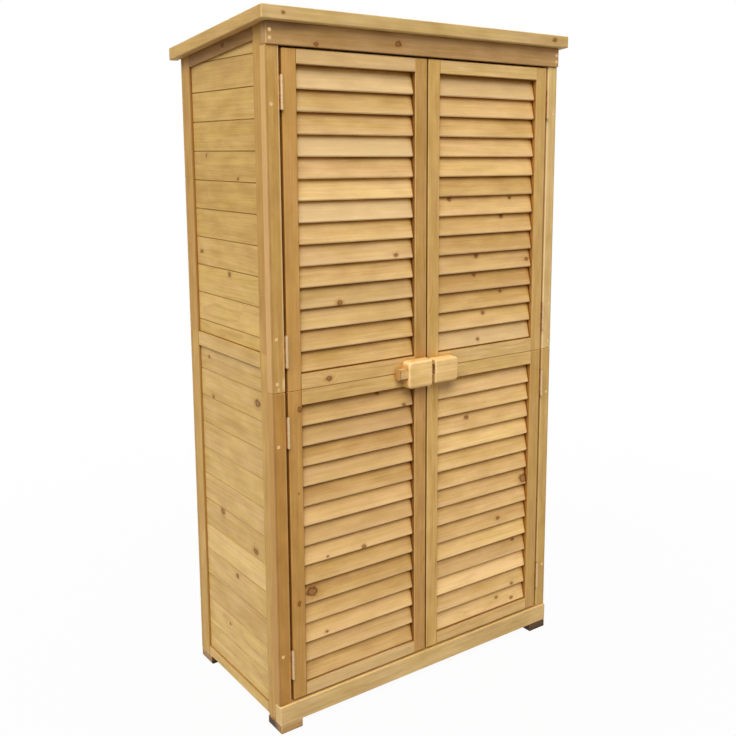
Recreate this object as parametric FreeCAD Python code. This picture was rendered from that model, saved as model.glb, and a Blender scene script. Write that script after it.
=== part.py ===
import FreeCAD, Part
import math
import os

# Tall garden storage cabinet of stained softwood: a lean roof that falls to the back, two louvred
# doors of two stacked halves each, boarded sides and back, two shelves and a sliding wooden latch.
# Millimetres. X runs left to right, Y front to back, Z up. The origin is on the ground, under the
# middle of the outline. Side -1 is the left one as seen from the front, side +1 the right one.

LEFT = -1
RIGHT = 1
SIDE_NAMES = {LEFT: "left", RIGHT: "right"}

# Roof
roof_width = 870.0
roof_depth = 465.0
overall_height = 1600.0
roof_drop = 48.0
roof_bar_height = 28.0
front_bar_thickness = 19.0
side_bar_thickness = 21.0
roof_board_thickness = 12.0
roof_board_count = 5
felt_thickness = 2.0
felt_recess = 1.0
side_bar_gap = 1.0
front_overhang = 20.0
rear_overhang = 17.0
roof_clearance = 0.3

# Front frame
foot_height = 20.0
foot_width = 56.0
foot_depth = 62.0
foot_inset = 1.0
bottom_rail_height = 46.0
lintel_height = 43.0
front_frame_thickness = 25.0
cross_rail_proud = 4.5
front_frame_overhang = 4.5
post_width = 31.5

# Doors
hinge_gap = 6.0
meeting_gap = 4.0
door_bottom_gap = 4.0
door_top_gap = 4.5
door_thickness = 25.0
door_stile_width = 34.0
door_joint_rail_height = 35.0
door_end_rail_height = 31.0
slat_count = 14
slat_width = 50.0
slat_thickness = 7.0
slat_tilt = 13.0
slat_recess = 5.0
slat_housing_depth = 6.0
slat_clearance = 0.2
dowel_radius = 4.0
dowel_length = 40.0
dowel_clearance = 0.05
dowel_end_clearance = 0.3

# Latch
left_block_width = 70.0
left_block_height = 65.0
left_block_setback = 0.0
right_block_width = 72.0
right_block_height = 59.0
right_block_setback = 5.0
latch_block_thickness = 26.0
latch_block_corner = 11.0
latch_drop = 4.0
bolt_height = 25.0
bolt_thickness = 17.0
bolt_length = 92.0
bolt_tip_setback = 2.0
bolt_rise = 4.0
bolt_clearance = 0.3
bolt_travel = 22.0
bolt_socket_spare = 4.0

# Hinges
hinge_height = 70.0
hinge_end_distance = 90.0
hinge_leaf_thickness = 1.2
hinge_leaf_width = 20.0
hinge_knuckle_radius = 3.4
hinge_knuckle_count = 5
hinge_knuckle_gap = 0.3
hinge_face_clearance = 0.4
pin_radius = 1.5
pin_clearance = 0.05
pin_head_radius = 2.3
pin_head_height = 1.2
leaf_screw_spacing = 44.0

# Side and back panels
side_thickness = 22.0
side_stile_width = 38.0
side_top_rail_height = 39.0
side_middle_rail_height = 35.0
side_bottom_rail_height = 25.0
side_split_height = 875.5
board_thickness = 10.0
board_recess = 5.0
board_pitch = 67.2
upper_first_board_height = 31.7
least_board_height = 12.0
board_bevel = 1.5
tongue_thickness = 3.4
tongue_length = 5.0
board_clearance = 0.2
panel_groove_depth = 8.0
back_board_thickness = 9.0
back_rail_thickness = 20.0
back_rail_height = 35.0

# Inside
batten_size = 20.0
floor_batten_height = 25.0
floor_board_thickness = 12.0
floor_board_count = 4
shelf_board_thickness = 15.0
shelf_board_count = 4
shelf_board_gap = 3.0
shelf_front_setback = 10.0
lower_shelf_height = 540.0
upper_shelf_height = 1010.0
fitting_clearance = 0.3

# Screws
frame_screw_head_radius = 4.0
frame_screw_shank_radius = 2.0
frame_screw_length = 45.0
frame_screw_head_depth = 2.5
leaf_screw_head_radius = 2.3
leaf_screw_shank_radius = 1.2
leaf_screw_length = 14.0
screw_clearance = 0.05
screw_head_proud = 0.4
screw_recess_share = 0.6
screw_recess_width = 0.9
screw_recess_depth = 0.9
lintel_screw_inset = 8.5
lintel_screw_rises = (12.0, 28.0)
post_screw_inset = 11.5
post_screw_end_distance = 119.0
post_screw_joint_distance = 21.0

# Eased edges
frame_easing = 1.5
post_easing = 2.0
slat_easing = 2.0
foot_easing = 1.5
block_rim_easing = 7.0
block_mouth_easing = 3.0
bolt_easing = 3.0
shelf_easing = 0.8

# Working allowances: how far a cutter runs past a face, and how near counts as on a plane
overcut = 1.0
on_plane = 0.01
parallel_error = 1e-6
slat_place_digits = 2

# Places that follow from the sizes above
front_reach = max(front_overhang, latch_block_thickness)
overall_depth = roof_depth + front_reach - front_overhang
front_face = front_reach - overall_depth / 2
roof_front = front_face - front_overhang
roof_rear = roof_front + roof_depth
roof_half = roof_width / 2
body_half = roof_half - side_bar_thickness - side_bar_gap
back_face = roof_rear - rear_overhang
post_back = front_face + front_frame_thickness
door_back = front_face + door_thickness
cross_rail_front = front_face - cross_rail_proud
cross_rail_back = cross_rail_front + front_frame_thickness
front_frame_half = body_half + front_frame_overhang
back_panel_front = back_face - back_board_thickness
inner_back = back_panel_front - back_rail_thickness
inner_half = body_half - side_thickness
inner_front = max(post_back, door_back + fitting_clearance)
front_bar_back = roof_front + front_bar_thickness
roof_build_up = felt_recess + felt_thickness + roof_board_thickness
side_stile_inner_front = post_back + side_stile_width
side_stile_inner_back = back_panel_front - side_stile_width
bottom_rail_top = foot_height + bottom_rail_height
door_bottom = bottom_rail_top + door_bottom_gap
post_inner = front_frame_half - post_width
door_outer = post_inner - hinge_gap
door_inner = meeting_gap / 2


def roof_top(y):
    return overall_height - (y - roof_front) * roof_drop / roof_depth


def deck_underside(y):
    return roof_top(y) - roof_build_up


def lintel_top(y):
    return roof_top(y) - roof_bar_height - roof_clearance


lintel_bottom = lintel_top(cross_rail_back) - lintel_height
door_top = lintel_bottom - door_top_gap
door_split = (door_bottom + door_top) / 2
hinge_pin_x = post_inner - hinge_gap / 2
hinge_pin_y = front_face - hinge_knuckle_radius - hinge_face_clearance


def box(x_from, x_to, y_from, y_to, z_from, z_to):
    x_low, x_high = sorted((x_from, x_to))
    corner = FreeCAD.Vector(x_low, y_from, z_from)
    return Part.makeBox(x_high - x_low, y_to - y_from, z_to - z_from, corner)


def prism_along_x(x_from, x_to, outline):
    x_low, x_high = sorted((x_from, x_to))
    points = [FreeCAD.Vector(x_low, y, z) for y, z in outline]
    face = Part.Face(Part.makePolygon(points + points[:1]))
    return face.extrude(FreeCAD.Vector(x_high - x_low, 0, 0))


def prism_along_y(y_from, y_to, outline):
    points = [FreeCAD.Vector(x, y_from, z) for x, z in outline]
    face = Part.Face(Part.makePolygon(points + points[:1]))
    return face.extrude(FreeCAD.Vector(0, y_to - y_from, 0))


def runs_along(edge, direction):
    ends = edge.valueAt(edge.LastParameter) - edge.valueAt(edge.FirstParameter)
    return ends.Length > 0 and ends.cross(direction).Length < parallel_error * ends.Length


def eased(shape, size, direction=None):
    """The shape with a small flat on its straight edges, or only on those along one direction."""
    edges = [edge for edge in shape.Edges if direction is None or runs_along(edge, direction)]
    return shape.makeChamfer(size, edges)


ALONG_X = FreeCAD.Vector(1, 0, 0)
ALONG_Y = FreeCAD.Vector(0, 1, 0)
ALONG_Z = FreeCAD.Vector(0, 0, 1)


def under_deck(x_from, x_to, y_from, y_to, z_from):
    """An upright block whose top follows the underside of the roof boards."""
    outline = [
        (y_from, z_from),
        (y_to, z_from),
        (y_to, deck_underside(y_to)),
        (y_from, deck_underside(y_from)),
    ]
    return prism_along_x(x_from, x_to, outline)


def roof_slab(x_from, x_to, y_from, y_to, depth_from, depth_to):
    """A slab that lies parallel to the roof, between two depths below its top."""
    outline = [
        (y_from, roof_top(y_from) - depth_to),
        (y_to, roof_top(y_to) - depth_to),
        (y_to, roof_top(y_to) - depth_from),
        (y_from, roof_top(y_from) - depth_from),
    ]
    return prism_along_x(x_from, x_to, outline)


# Roof: a front bar that covers the side bars' ends, boards between the bars, and felt on the boards
def make_roof():
    deck_half = roof_half - side_bar_thickness
    front_bar = roof_slab(-roof_half, roof_half, roof_front, front_bar_back, 0, roof_bar_height)
    parts = {"roof_front_bar": eased(front_bar, frame_easing)}
    for side, name in SIDE_NAMES.items():
        bar = roof_slab(side * deck_half, side * roof_half, front_bar_back, roof_rear, 0, roof_bar_height)
        parts["roof_" + name + "_bar"] = eased(bar, frame_easing)
    board_top = felt_recess + felt_thickness
    board_depth = (roof_rear - front_bar_back) / roof_board_count
    boards = []
    for number in range(roof_board_count):
        y_from = front_bar_back + number * board_depth
        y_to = y_from + board_depth
        boards.append(roof_slab(-deck_half, deck_half, y_from, y_to, board_top, roof_build_up))
    parts["roof_boards"] = Part.makeCompound(boards)
    parts["roof_felt"] = roof_slab(-deck_half, deck_half, front_bar_back, roof_rear, felt_recess, board_top)
    return parts


# Screws lie along X or Y, with a countersunk head that has a cross recess
def screw_profile(head_radius, shank_radius, head_depth, length, proud, clearance):
    points = [
        FreeCAD.Vector(0, 0, -proud),
        FreeCAD.Vector(head_radius + clearance, 0, -proud),
        FreeCAD.Vector(head_radius + clearance, 0, 0),
        FreeCAD.Vector(shank_radius + clearance, 0, head_depth),
        FreeCAD.Vector(shank_radius + clearance, 0, length + clearance),
        FreeCAD.Vector(0, 0, length + clearance),
    ]
    points = [point for number, point in enumerate(points) if number == 0 or point != points[number - 1]]
    face = Part.Face(Part.makePolygon(points + points[:1]))
    return face.revolve(FreeCAD.Vector(0, 0, 0), ALONG_Z, 360)


def placed_screw(shape, head, direction):
    placed = shape.copy()
    placed.Placement = FreeCAD.Placement(head, FreeCAD.Rotation(ALONG_Z, direction))
    return placed


def cross_recess(head_radius, proud):
    arm = head_radius * screw_recess_share
    top = -proud - screw_clearance
    size = (2 * arm, screw_recess_width, screw_recess_depth)
    first = Part.makeBox(*size, FreeCAD.Vector(-arm, -screw_recess_width / 2, top))
    second = first.copy()
    second.rotate(FreeCAD.Vector(0, 0, 0), ALONG_Z, 90)
    return first.fuse(second)


def frame_screw(clearance=0.0):
    return screw_profile(
        frame_screw_head_radius,
        frame_screw_shank_radius,
        frame_screw_head_depth,
        frame_screw_length,
        screw_head_proud,
        clearance,
    )


def leaf_screw(clearance=0.0):
    return screw_profile(
        leaf_screw_head_radius,
        leaf_screw_shank_radius,
        hinge_leaf_thickness,
        leaf_screw_length,
        0.0,
        clearance,
    )


def lintel_screw_heads():
    heads = []
    for side in (LEFT, RIGHT):
        for rise in lintel_screw_rises:
            x = side * (front_frame_half - lintel_screw_inset)
            heads.append(FreeCAD.Vector(x, cross_rail_front, lintel_bottom + rise))
    return heads


def post_screw_heads():
    heights = [
        bottom_rail_top + post_screw_end_distance,
        door_split - post_screw_end_distance,
        door_split + post_screw_joint_distance,
        door_split + post_screw_end_distance,
        lintel_bottom - post_screw_end_distance,
    ]
    heads = []
    for side in (LEFT, RIGHT):
        x = side * (front_frame_half - post_screw_inset)
        for height in heights:
            heads.append(FreeCAD.Vector(x, front_face, height))
    return heads


FRAME_SCREW_HEADS = lintel_screw_heads() + post_screw_heads()


def make_frame_screws():
    pattern = frame_screw().cut(cross_recess(frame_screw_head_radius, screw_head_proud))
    screws = [placed_screw(pattern, head, ALONG_Y) for head in FRAME_SCREW_HEADS]
    return {"frame_screws": Part.makeCompound(screws)}


def bored_for_frame_screws(shape):
    hole = frame_screw(screw_clearance)
    bounds = shape.BoundBox
    for head in FRAME_SCREW_HEADS:
        if bounds.XMin < head.x < bounds.XMax and bounds.ZMin < head.z < bounds.ZMax:
            shape = shape.cut(placed_screw(hole, head, ALONG_Y))
    return shape


# Hinges: each has a frame leaf on the post's side, a door leaf on the door's edge, and a loose pin
def hinge_heights():
    return [
        door_bottom + hinge_end_distance,
        door_split - hinge_end_distance,
        door_split + hinge_end_distance,
        door_top - hinge_end_distance,
    ]


def leaf_screw_heads(side, on_door):
    """Heads on the bare face of each leaf, and the way that the screws point."""
    if on_door:
        x = door_outer + hinge_leaf_thickness
        direction = ALONG_X * -side
    else:
        x = post_inner - hinge_leaf_thickness
        direction = ALONG_X * side
    y = front_face + hinge_leaf_width / 2
    heads = []
    for height in hinge_heights():
        for offset in (-leaf_screw_spacing / 2, leaf_screw_spacing / 2):
            heads.append(FreeCAD.Vector(side * x, y, height + offset))
    return heads, direction


def knuckle_spans(middle, on_door):
    pitch = hinge_height / hinge_knuckle_count
    low = middle - hinge_height / 2
    spans = []
    for number in range(hinge_knuckle_count):
        if (number % 2 == 1) == on_door:
            z_from = low + number * pitch + hinge_knuckle_gap / 2
            spans.append((z_from, z_from + pitch - hinge_knuckle_gap))
    return spans


def hinge_leaf(side, middle, on_door):
    low = middle - hinge_height / 2
    if on_door:
        x_from = door_outer
        x_to = door_outer + hinge_leaf_thickness
    else:
        x_from = post_inner - hinge_leaf_thickness
        x_to = post_inner
    plate = (side * x_from, side * x_to)
    pieces = []
    for z_from, z_to in knuckle_spans(middle, on_door):
        pieces.append(box(*plate, hinge_pin_y, front_face, z_from, z_to))
        centre = FreeCAD.Vector(side * hinge_pin_x, hinge_pin_y, z_from)
        pieces.append(Part.makeCylinder(hinge_knuckle_radius, z_to - z_from, centre))
    leaf = box(*plate, front_face, front_face + hinge_leaf_width, low, low + hinge_height).multiFuse(pieces)
    centre = FreeCAD.Vector(side * hinge_pin_x, hinge_pin_y, low)
    leaf = leaf.cut(Part.makeCylinder(pin_radius + pin_clearance, hinge_height, centre))
    heads, direction = leaf_screw_heads(side, on_door)
    for head in heads:
        if low < head.z < low + hinge_height:
            leaf = leaf.cut(placed_screw(leaf_screw(screw_clearance), head, direction))
    return leaf.removeSplitter()


def hinge_pin(side, middle):
    low = middle - hinge_height / 2
    foot = FreeCAD.Vector(side * hinge_pin_x, hinge_pin_y, low - pin_head_height)
    shank = Part.makeCylinder(pin_radius, hinge_height + pin_head_height, foot)
    head_foot = FreeCAD.Vector(foot.x, foot.y, low + hinge_height)
    head = Part.makeCylinder(pin_head_radius, pin_head_height, head_foot)
    return shank.fuse(head).removeSplitter()


def make_hinges():
    parts = {}
    frame_leaves = []
    frame_screws = []
    pins = []
    screw = leaf_screw().cut(cross_recess(leaf_screw_head_radius, 0.0))
    for side, name in SIDE_NAMES.items():
        frame_leaves += [hinge_leaf(side, middle, False) for middle in hinge_heights()]
        pins += [hinge_pin(side, middle) for middle in hinge_heights()]
        heads, direction = leaf_screw_heads(side, False)
        frame_screws += [placed_screw(screw, head, direction) for head in heads]
        door_leaves = [hinge_leaf(side, middle, True) for middle in hinge_heights()]
        parts[name + "_door_hinge_leaves"] = Part.makeCompound(door_leaves)
        heads, direction = leaf_screw_heads(side, True)
        door_screws = [placed_screw(screw, head, direction) for head in heads]
        parts[name + "_door_hinge_screws"] = Part.makeCompound(door_screws)
    parts["frame_hinge_leaves"] = Part.makeCompound(frame_leaves)
    parts["frame_hinge_screws"] = Part.makeCompound(frame_screws)
    parts["hinge_pins"] = Part.makeCompound(pins)
    return parts


def bored_for_leaf_screws(shape, side, on_door):
    hole = leaf_screw(screw_clearance)
    heads, direction = leaf_screw_heads(side, on_door)
    bounds = shape.BoundBox
    for head in heads:
        if bounds.ZMin < head.z < bounds.ZMax:
            shape = shape.cut(placed_screw(hole, head, direction))
    return shape


# Front frame: the posts stand on the bottom rail, in two lengths that meet where the door halves meet,
# and the lintel's top is planed to the slope of the roof bars on it
def make_front_frame():
    rail_ends = (-front_frame_half, front_frame_half)
    bottom_rail = box(*rail_ends, cross_rail_front, cross_rail_back, foot_height, bottom_rail_top)
    lintel_outline = [
        (cross_rail_front, lintel_bottom),
        (cross_rail_back, lintel_bottom),
        (cross_rail_back, lintel_top(cross_rail_back)),
        (cross_rail_front, lintel_top(cross_rail_front)),
    ]
    lintel = prism_along_x(*rail_ends, lintel_outline)
    parts = {
        "front_bottom_rail": eased(bottom_rail, frame_easing),
        "front_lintel": bored_for_frame_screws(eased(lintel, frame_easing)),
    }
    spans = {"lower": (bottom_rail_top, door_split), "upper": (door_split, lintel_bottom)}
    for side, name in SIDE_NAMES.items():
        for level, (z_from, z_to) in spans.items():
            post = box(side * post_inner, side * front_frame_half, front_face, post_back, z_from, z_to)
            post = bored_for_frame_screws(eased(post, post_easing))
            parts[name + "_post_" + level] = bored_for_leaf_screws(post, side, False)
    return parts


# Boards have a tongue above and a groove below, with a bevel along both edges of the outer face
def board_outline(thickness, z_from, z_to, has_groove, has_tongue):
    """Points (distance in from the outer face, height) of one board's section."""
    near = (thickness - tongue_thickness) / 2
    far = near + tongue_thickness
    outline = [
        (board_bevel, z_from),
        (0, z_from + board_bevel),
        (0, z_to - board_bevel),
        (board_bevel, z_to),
    ]
    if has_tongue:
        tip = z_to + tongue_length
        outline += [(near, z_to), (near, tip), (far, tip), (far, z_to)]
    outline += [(thickness, z_to), (thickness, z_from)]
    if has_groove:
        roof_of_groove = z_from + tongue_length + board_clearance
        wide = far + board_clearance
        narrow = near - board_clearance
        outline += [(wide, z_from), (wide, roof_of_groove), (narrow, roof_of_groove), (narrow, z_from)]
    return outline


def board_seams(z_from, z_to, first_height):
    """Heights at which the boards meet, from the bottom up, with no board lower than the least."""
    seams = [z_from]
    height = z_from + first_height
    while height < z_to - least_board_height:
        seams.append(height)
        height += board_pitch
    return seams + [z_to]


def boarded(field, seams, thickness, board_of_outline):
    boards = []
    last = len(seams) - 2
    for number, (z_from, z_to) in enumerate(zip(seams, seams[1:])):
        outline = board_outline(thickness, z_from, z_to, number > 0, number < last)
        boards += board_of_outline(outline).common(field).Solids
    return Part.makeCompound(boards)


def side_boards(side, field, seams):
    outer = body_half - board_recess

    def board(outline):
        placed = [(side * (outer - depth), height) for depth, height in outline]
        return prism_along_y(post_back, back_panel_front, placed)

    return boarded(field, seams, board_thickness, board)


def panel_groove(side, y_from, y_to, z_from, z_to):
    outer = body_half - board_recess + board_clearance
    inner = body_half - board_recess - board_thickness - board_clearance
    return box(side * outer, side * inner, y_from, y_to, z_from, z_to)


# Side panels: stiles with rails between them, and boards that sit in grooves all round
def side_stiles(side, z_from, z_to):
    """Front and rear stiles of one panel. With no upper height they run up to the roof boards."""
    top = overall_height
    spans = ((post_back, side_stile_inner_front), (side_stile_inner_back, back_panel_front))
    grooves = (
        panel_groove(side, side_stile_inner_front - panel_groove_depth, side_stile_inner_front, z_from, top),
        panel_groove(side, side_stile_inner_back, side_stile_inner_back + panel_groove_depth, z_from, top),
    )
    stiles = []
    for (y_from, y_to), groove in zip(spans, grooves):
        if z_to is None:
            stile = under_deck(side * inner_half, side * body_half, y_from, y_to, z_from)
        else:
            stile = box(side * inner_half, side * body_half, y_from, y_to, z_from, z_to)
        stile = eased(stile, frame_easing, ALONG_Z).cut(groove)
        stiles.append(bored_for_frame_screws(stile))
    return Part.makeCompound(stiles)


def side_field(side, z_from, top_at):
    """The space that one panel's boards fill, into its grooves, up to a height given by depth."""
    reach = panel_groove_depth - board_clearance
    y_from = side_stile_inner_front - reach
    y_to = side_stile_inner_back + reach
    outline = [(y_from, z_from), (y_to, z_from), (y_to, top_at(y_to)), (y_from, top_at(y_from))]
    return prism_along_x(side * inner_half, side * body_half, outline)


def sloped_side_rail(side):
    y_from = side_stile_inner_front
    y_to = side_stile_inner_back
    outline = [
        (y_from, deck_underside(y_from) - side_top_rail_height),
        (y_to, deck_underside(y_to) - side_top_rail_height),
        (y_to, deck_underside(y_to)),
        (y_from, deck_underside(y_from)),
    ]
    rail = prism_along_x(side * inner_half, side * body_half, outline)
    outer = body_half - board_recess + board_clearance
    inner = body_half - board_recess - board_thickness - board_clearance
    rise = panel_groove_depth - side_top_rail_height
    groove = [
        (y_from, deck_underside(y_from) - overall_height),
        (y_to, deck_underside(y_to) - overall_height),
        (y_to, deck_underside(y_to) + rise),
        (y_from, deck_underside(y_from) + rise),
    ]
    return rail.cut(prism_along_x(side * outer, side * inner, groove))


def level_side_rail(side, z_from, z_to, groove_from, groove_to):
    y_from = side_stile_inner_front
    y_to = side_stile_inner_back
    rail = box(side * inner_half, side * body_half, y_from, y_to, z_from, z_to)
    rail = eased(rail, frame_easing, ALONG_Y)
    return rail.cut(panel_groove(side, y_from, y_to, groove_from, groove_to))


def make_side(side):
    name = SIDE_NAMES[side]
    split = side_split_height
    bottom_rail_high = foot_height + side_bottom_rail_height
    middle_rail_low = split - side_middle_rail_height
    reach = panel_groove_depth - board_clearance

    def upper_top(y):
        return deck_underside(y) - side_top_rail_height + reach

    def lower_top(y):
        return middle_rail_low + reach

    upper_field = side_field(side, split, upper_top)
    upper_seams = board_seams(split, upper_top(post_back), upper_first_board_height)
    lower_field = side_field(side, bottom_rail_high - reach, lower_top)
    first_height = board_pitch + reach
    lower_seams = board_seams(bottom_rail_high - reach, lower_top(0), first_height)
    lower_rails = [
        level_side_rail(
            side, foot_height, bottom_rail_high, bottom_rail_high - panel_groove_depth, bottom_rail_high
        ),
        level_side_rail(
            side, middle_rail_low, split, middle_rail_low, middle_rail_low + panel_groove_depth
        ),
    ]
    return {
        name + "_upper_side_stiles": side_stiles(side, split, None),
        name + "_upper_side_rail": sloped_side_rail(side),
        name + "_upper_side_boards": side_boards(side, upper_field, upper_seams),
        name + "_lower_side_stiles": side_stiles(side, foot_height, split),
        name + "_lower_side_rails": Part.makeCompound(lower_rails),
        name + "_lower_side_boards": side_boards(side, lower_field, lower_seams),
    }


# Back panel: boards across the whole width, nailed to three rails between the side panels
def back_boards(z_from, z_to, first_height):
    if z_to is None:
        field = under_deck(-body_half, body_half, back_panel_front, back_face, z_from)
        top = deck_underside(back_panel_front)
    else:
        field = box(-body_half, body_half, back_panel_front, back_face, z_from, z_to)
        top = z_to

    def board(outline):
        placed = [(back_face - depth, height) for depth, height in outline]
        return prism_along_x(-body_half, body_half, placed)

    seams = board_seams(z_from, top, first_height)
    return boarded(field, seams, back_board_thickness, board)


def make_back():
    rails = [
        box(-inner_half, inner_half, inner_back, back_panel_front, z_from, z_from + back_rail_height)
        for z_from in (foot_height, side_split_height - back_rail_height / 2)
    ]
    top_rail_low = deck_underside(back_panel_front) - back_rail_height
    rails.append(under_deck(-inner_half, inner_half, inner_back, back_panel_front, top_rail_low))
    return {
        "back_lower_boards": back_boards(foot_height, side_split_height, board_pitch),
        "back_upper_boards": back_boards(side_split_height, None, upper_first_board_height),
        "back_rails": Part.makeCompound(rails),
    }


# Inside: battens along the sides carry the floor and both shelves
def make_inside():
    floor_top = foot_height + floor_batten_height
    tops = [lower_shelf_height, upper_shelf_height]
    battens = []
    for side in (LEFT, RIGHT):
        ends = (side * inner_half, side * (inner_half - batten_size))
        battens.append(box(*ends, inner_front, inner_back, foot_height, floor_top))
        battens += [box(*ends, inner_front, inner_back, top - batten_size, top) for top in tops]
    parts = {"inside_battens": Part.makeCompound(battens)}
    half = inner_half - fitting_clearance
    y_from = cross_rail_back + fitting_clearance
    y_to = inner_back - fitting_clearance
    boards = laid_boards(half, y_from, y_to, floor_board_count, 0.0, floor_top, floor_board_thickness)
    parts["floor_boards"] = boards
    for name, top in zip(("lower_shelf", "upper_shelf"), tops):
        y_from = inner_front + shelf_front_setback
        parts[name] = laid_boards(
            half, y_from, y_to, shelf_board_count, shelf_board_gap, top, shelf_board_thickness
        )
    return parts


def laid_boards(half, y_from, y_to, count, gap, z_from, thickness):
    """Level boards side by side, from the front to the back."""
    depth = (y_to - y_from - (count - 1) * gap) / count
    boards = []
    for number in range(count):
        start = y_from + number * (depth + gap)
        board = box(-half, half, start, start + depth, z_from, z_from + thickness)
        boards.append(eased(board, shelf_easing, ALONG_X))
    return Part.makeCompound(boards)


# Feet: a block under each corner, the front ones under the bottom rail's ends
def make_feet():
    feet = []
    for side in (LEFT, RIGHT):
        outer = front_frame_half - foot_inset
        ends = (side * outer, side * (outer - foot_width))
        front = box(*ends, cross_rail_front, cross_rail_front + foot_depth, 0, foot_height)
        ends = (side * body_half, side * (body_half - foot_width))
        rear = box(*ends, back_face - foot_depth, back_face, 0, foot_height)
        feet += [eased(front, foot_easing), eased(rear, foot_easing)]
    return {"feet": Part.makeCompound(feet)}


# Doors: two equal halves, one on the other, each a frame whose stiles house the ends of tilted slats
def slat_section(grown):
    """Section of one slat at the front plane, with its lowest point at height 0, grown all round."""
    tilt = math.radians(slat_tilt)
    lift = slat_thickness * math.sin(tilt)
    corners = [(0, 0), (slat_thickness, 0), (slat_thickness, slat_width), (0, slat_width)]
    section = []
    for across, up in corners:
        across += grown if across else -grown
        up += grown if up else -grown
        y = front_face + slat_recess + across * math.cos(tilt) + up * math.sin(tilt)
        z = lift - across * math.sin(tilt) + up * math.cos(tilt)
        section.append((y, z))
    return section


def slat_heights(rails_from, rails_to):
    """Heights of the slats that fill the space between two rails."""
    tilt = math.radians(slat_tilt)
    extent = slat_width * math.cos(tilt) + slat_thickness * math.sin(tilt)
    low = rails_from + slat_clearance
    high = rails_to - slat_clearance - extent
    pitch = (high - low) / (slat_count - 1)
    return [round(low + number * pitch, slat_place_digits) for number in range(slat_count)]


def raised_copies(shape, heights):
    return [shape.translated(FreeCAD.Vector(0, 0, height)) for height in heights]


def door_slats(side, heights):
    reach = door_stile_width - slat_housing_depth + slat_clearance
    ends = (side * (door_inner + reach), side * (door_outer - reach))
    slat = eased(prism_along_x(*ends, slat_section(0.0)), slat_easing, ALONG_X)
    return Part.makeCompound(raised_copies(slat, heights))


def door_stile(side, x_outer, x_inner, y_from, z_from, z_to, heights):
    """A stile between two distances from the middle, with housings open towards the slats."""
    stile = box(side * x_outer, side * x_inner, y_from, y_from + door_thickness, z_from, z_to)
    stile = eased(stile, frame_easing)
    toward_slats = slat_housing_depth if x_inner > x_outer else -slat_housing_depth
    housing = prism_along_x(side * (x_inner - toward_slats), side * x_inner, slat_section(slat_clearance))
    stile = stile.cut(Part.makeCompound(raised_copies(housing, heights)))
    return stile.cut(dowel(side, (x_outer + x_inner) / 2, dowel_clearance, dowel_end_clearance))


def dowel(side, x, clearance=0.0, end_clearance=0.0):
    length = dowel_length + 2 * end_clearance
    foot = FreeCAD.Vector(side * x, front_face + door_thickness / 2, door_split - length / 2)
    return Part.makeCylinder(dowel_radius + clearance, length, foot)


def make_door(side):
    name = SIDE_NAMES[side] + "_door_"
    outer_stile_edge = door_outer - door_stile_width
    inner_stile_edge = door_inner + door_stile_width
    halves = {
        "lower": (door_bottom, door_split, door_end_rail_height, door_joint_rail_height),
        "upper": (door_split, door_top, door_joint_rail_height, door_end_rail_height),
    }
    parts = {}
    for level, (z_from, z_to, low_rail, high_rail) in halves.items():
        heights = slat_heights(z_from + low_rail, z_to - high_rail)
        hinge_stile = door_stile(side, door_outer, outer_stile_edge, front_face, z_from, z_to, heights)
        parts[name + level + "_hinge_stile"] = bored_for_leaf_screws(hinge_stile, side, True)
        parts[name + level + "_meeting_stile"] = door_stile(
            side, door_inner, inner_stile_edge, front_face, z_from, z_to, heights
        )
        rails = []
        for rail_from, rail_to in ((z_from, z_from + low_rail), (z_to - high_rail, z_to)):
            ends = (side * inner_stile_edge, side * outer_stile_edge)
            rail = box(*ends, front_face, front_face + door_thickness, rail_from, rail_to)
            rails.append(eased(rail, frame_easing, ALONG_X))
        parts[name + level + "_rails"] = Part.makeCompound(rails)
        parts[name + level + "_slats"] = door_slats(side, heights)
    middles = [(door_inner + inner_stile_edge) / 2, (door_outer + outer_stile_edge) / 2]
    parts[name + "dowels"] = Part.makeCompound([dowel(side, x) for x in middles])
    return parts


# Latch: a bolt slides through the left block, and in use its tip enters the right block's socket
def bolt_box(x_from, x_to, clearance):
    middle_y = front_face - latch_block_thickness / 2
    middle_z = latch_middle() + bolt_rise
    depth = bolt_thickness / 2 + clearance
    rise = bolt_height / 2 + clearance
    return box(x_from, x_to, middle_y - depth, middle_y + depth, middle_z - rise, middle_z + rise)


def latch_middle():
    return door_split - latch_drop


def lies_across(edge, direction, place):
    """Whether an edge lies in the plane that is square to a direction at this distance along it."""
    ends = (edge.valueAt(edge.FirstParameter), edge.valueAt(edge.LastParameter))
    return all(abs(end.dot(direction) - place) < on_plane for end in ends)


def latch_block(side, setback, width, height):
    """A block whose rim and far corners are well rounded, and less so where the bolt comes out."""
    near = side * (door_inner + setback)
    far = near + side * width
    low = latch_middle() - height / 2
    face = front_face - latch_block_thickness
    block = box(near, far, face, front_face, low, low + height)
    corners = [edge for edge in block.Edges if runs_along(edge, ALONG_Y) and lies_across(edge, ALONG_X, far)]
    block = block.makeFillet(latch_block_corner, corners)
    front = [edge for edge in block.Edges if lies_across(edge, ALONG_Y, face)]
    rim = [edge for edge in front if not lies_across(edge, ALONG_X, near)]
    block = block.makeFillet(block_rim_easing, rim)
    mouth = []
    for edge in block.Edges:
        if lies_across(edge, ALONG_X, near) and not lies_across(edge, ALONG_Y, front_face):
            mouth.append(edge)
    return block.makeFillet(block_mouth_easing, mouth), near, far


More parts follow.
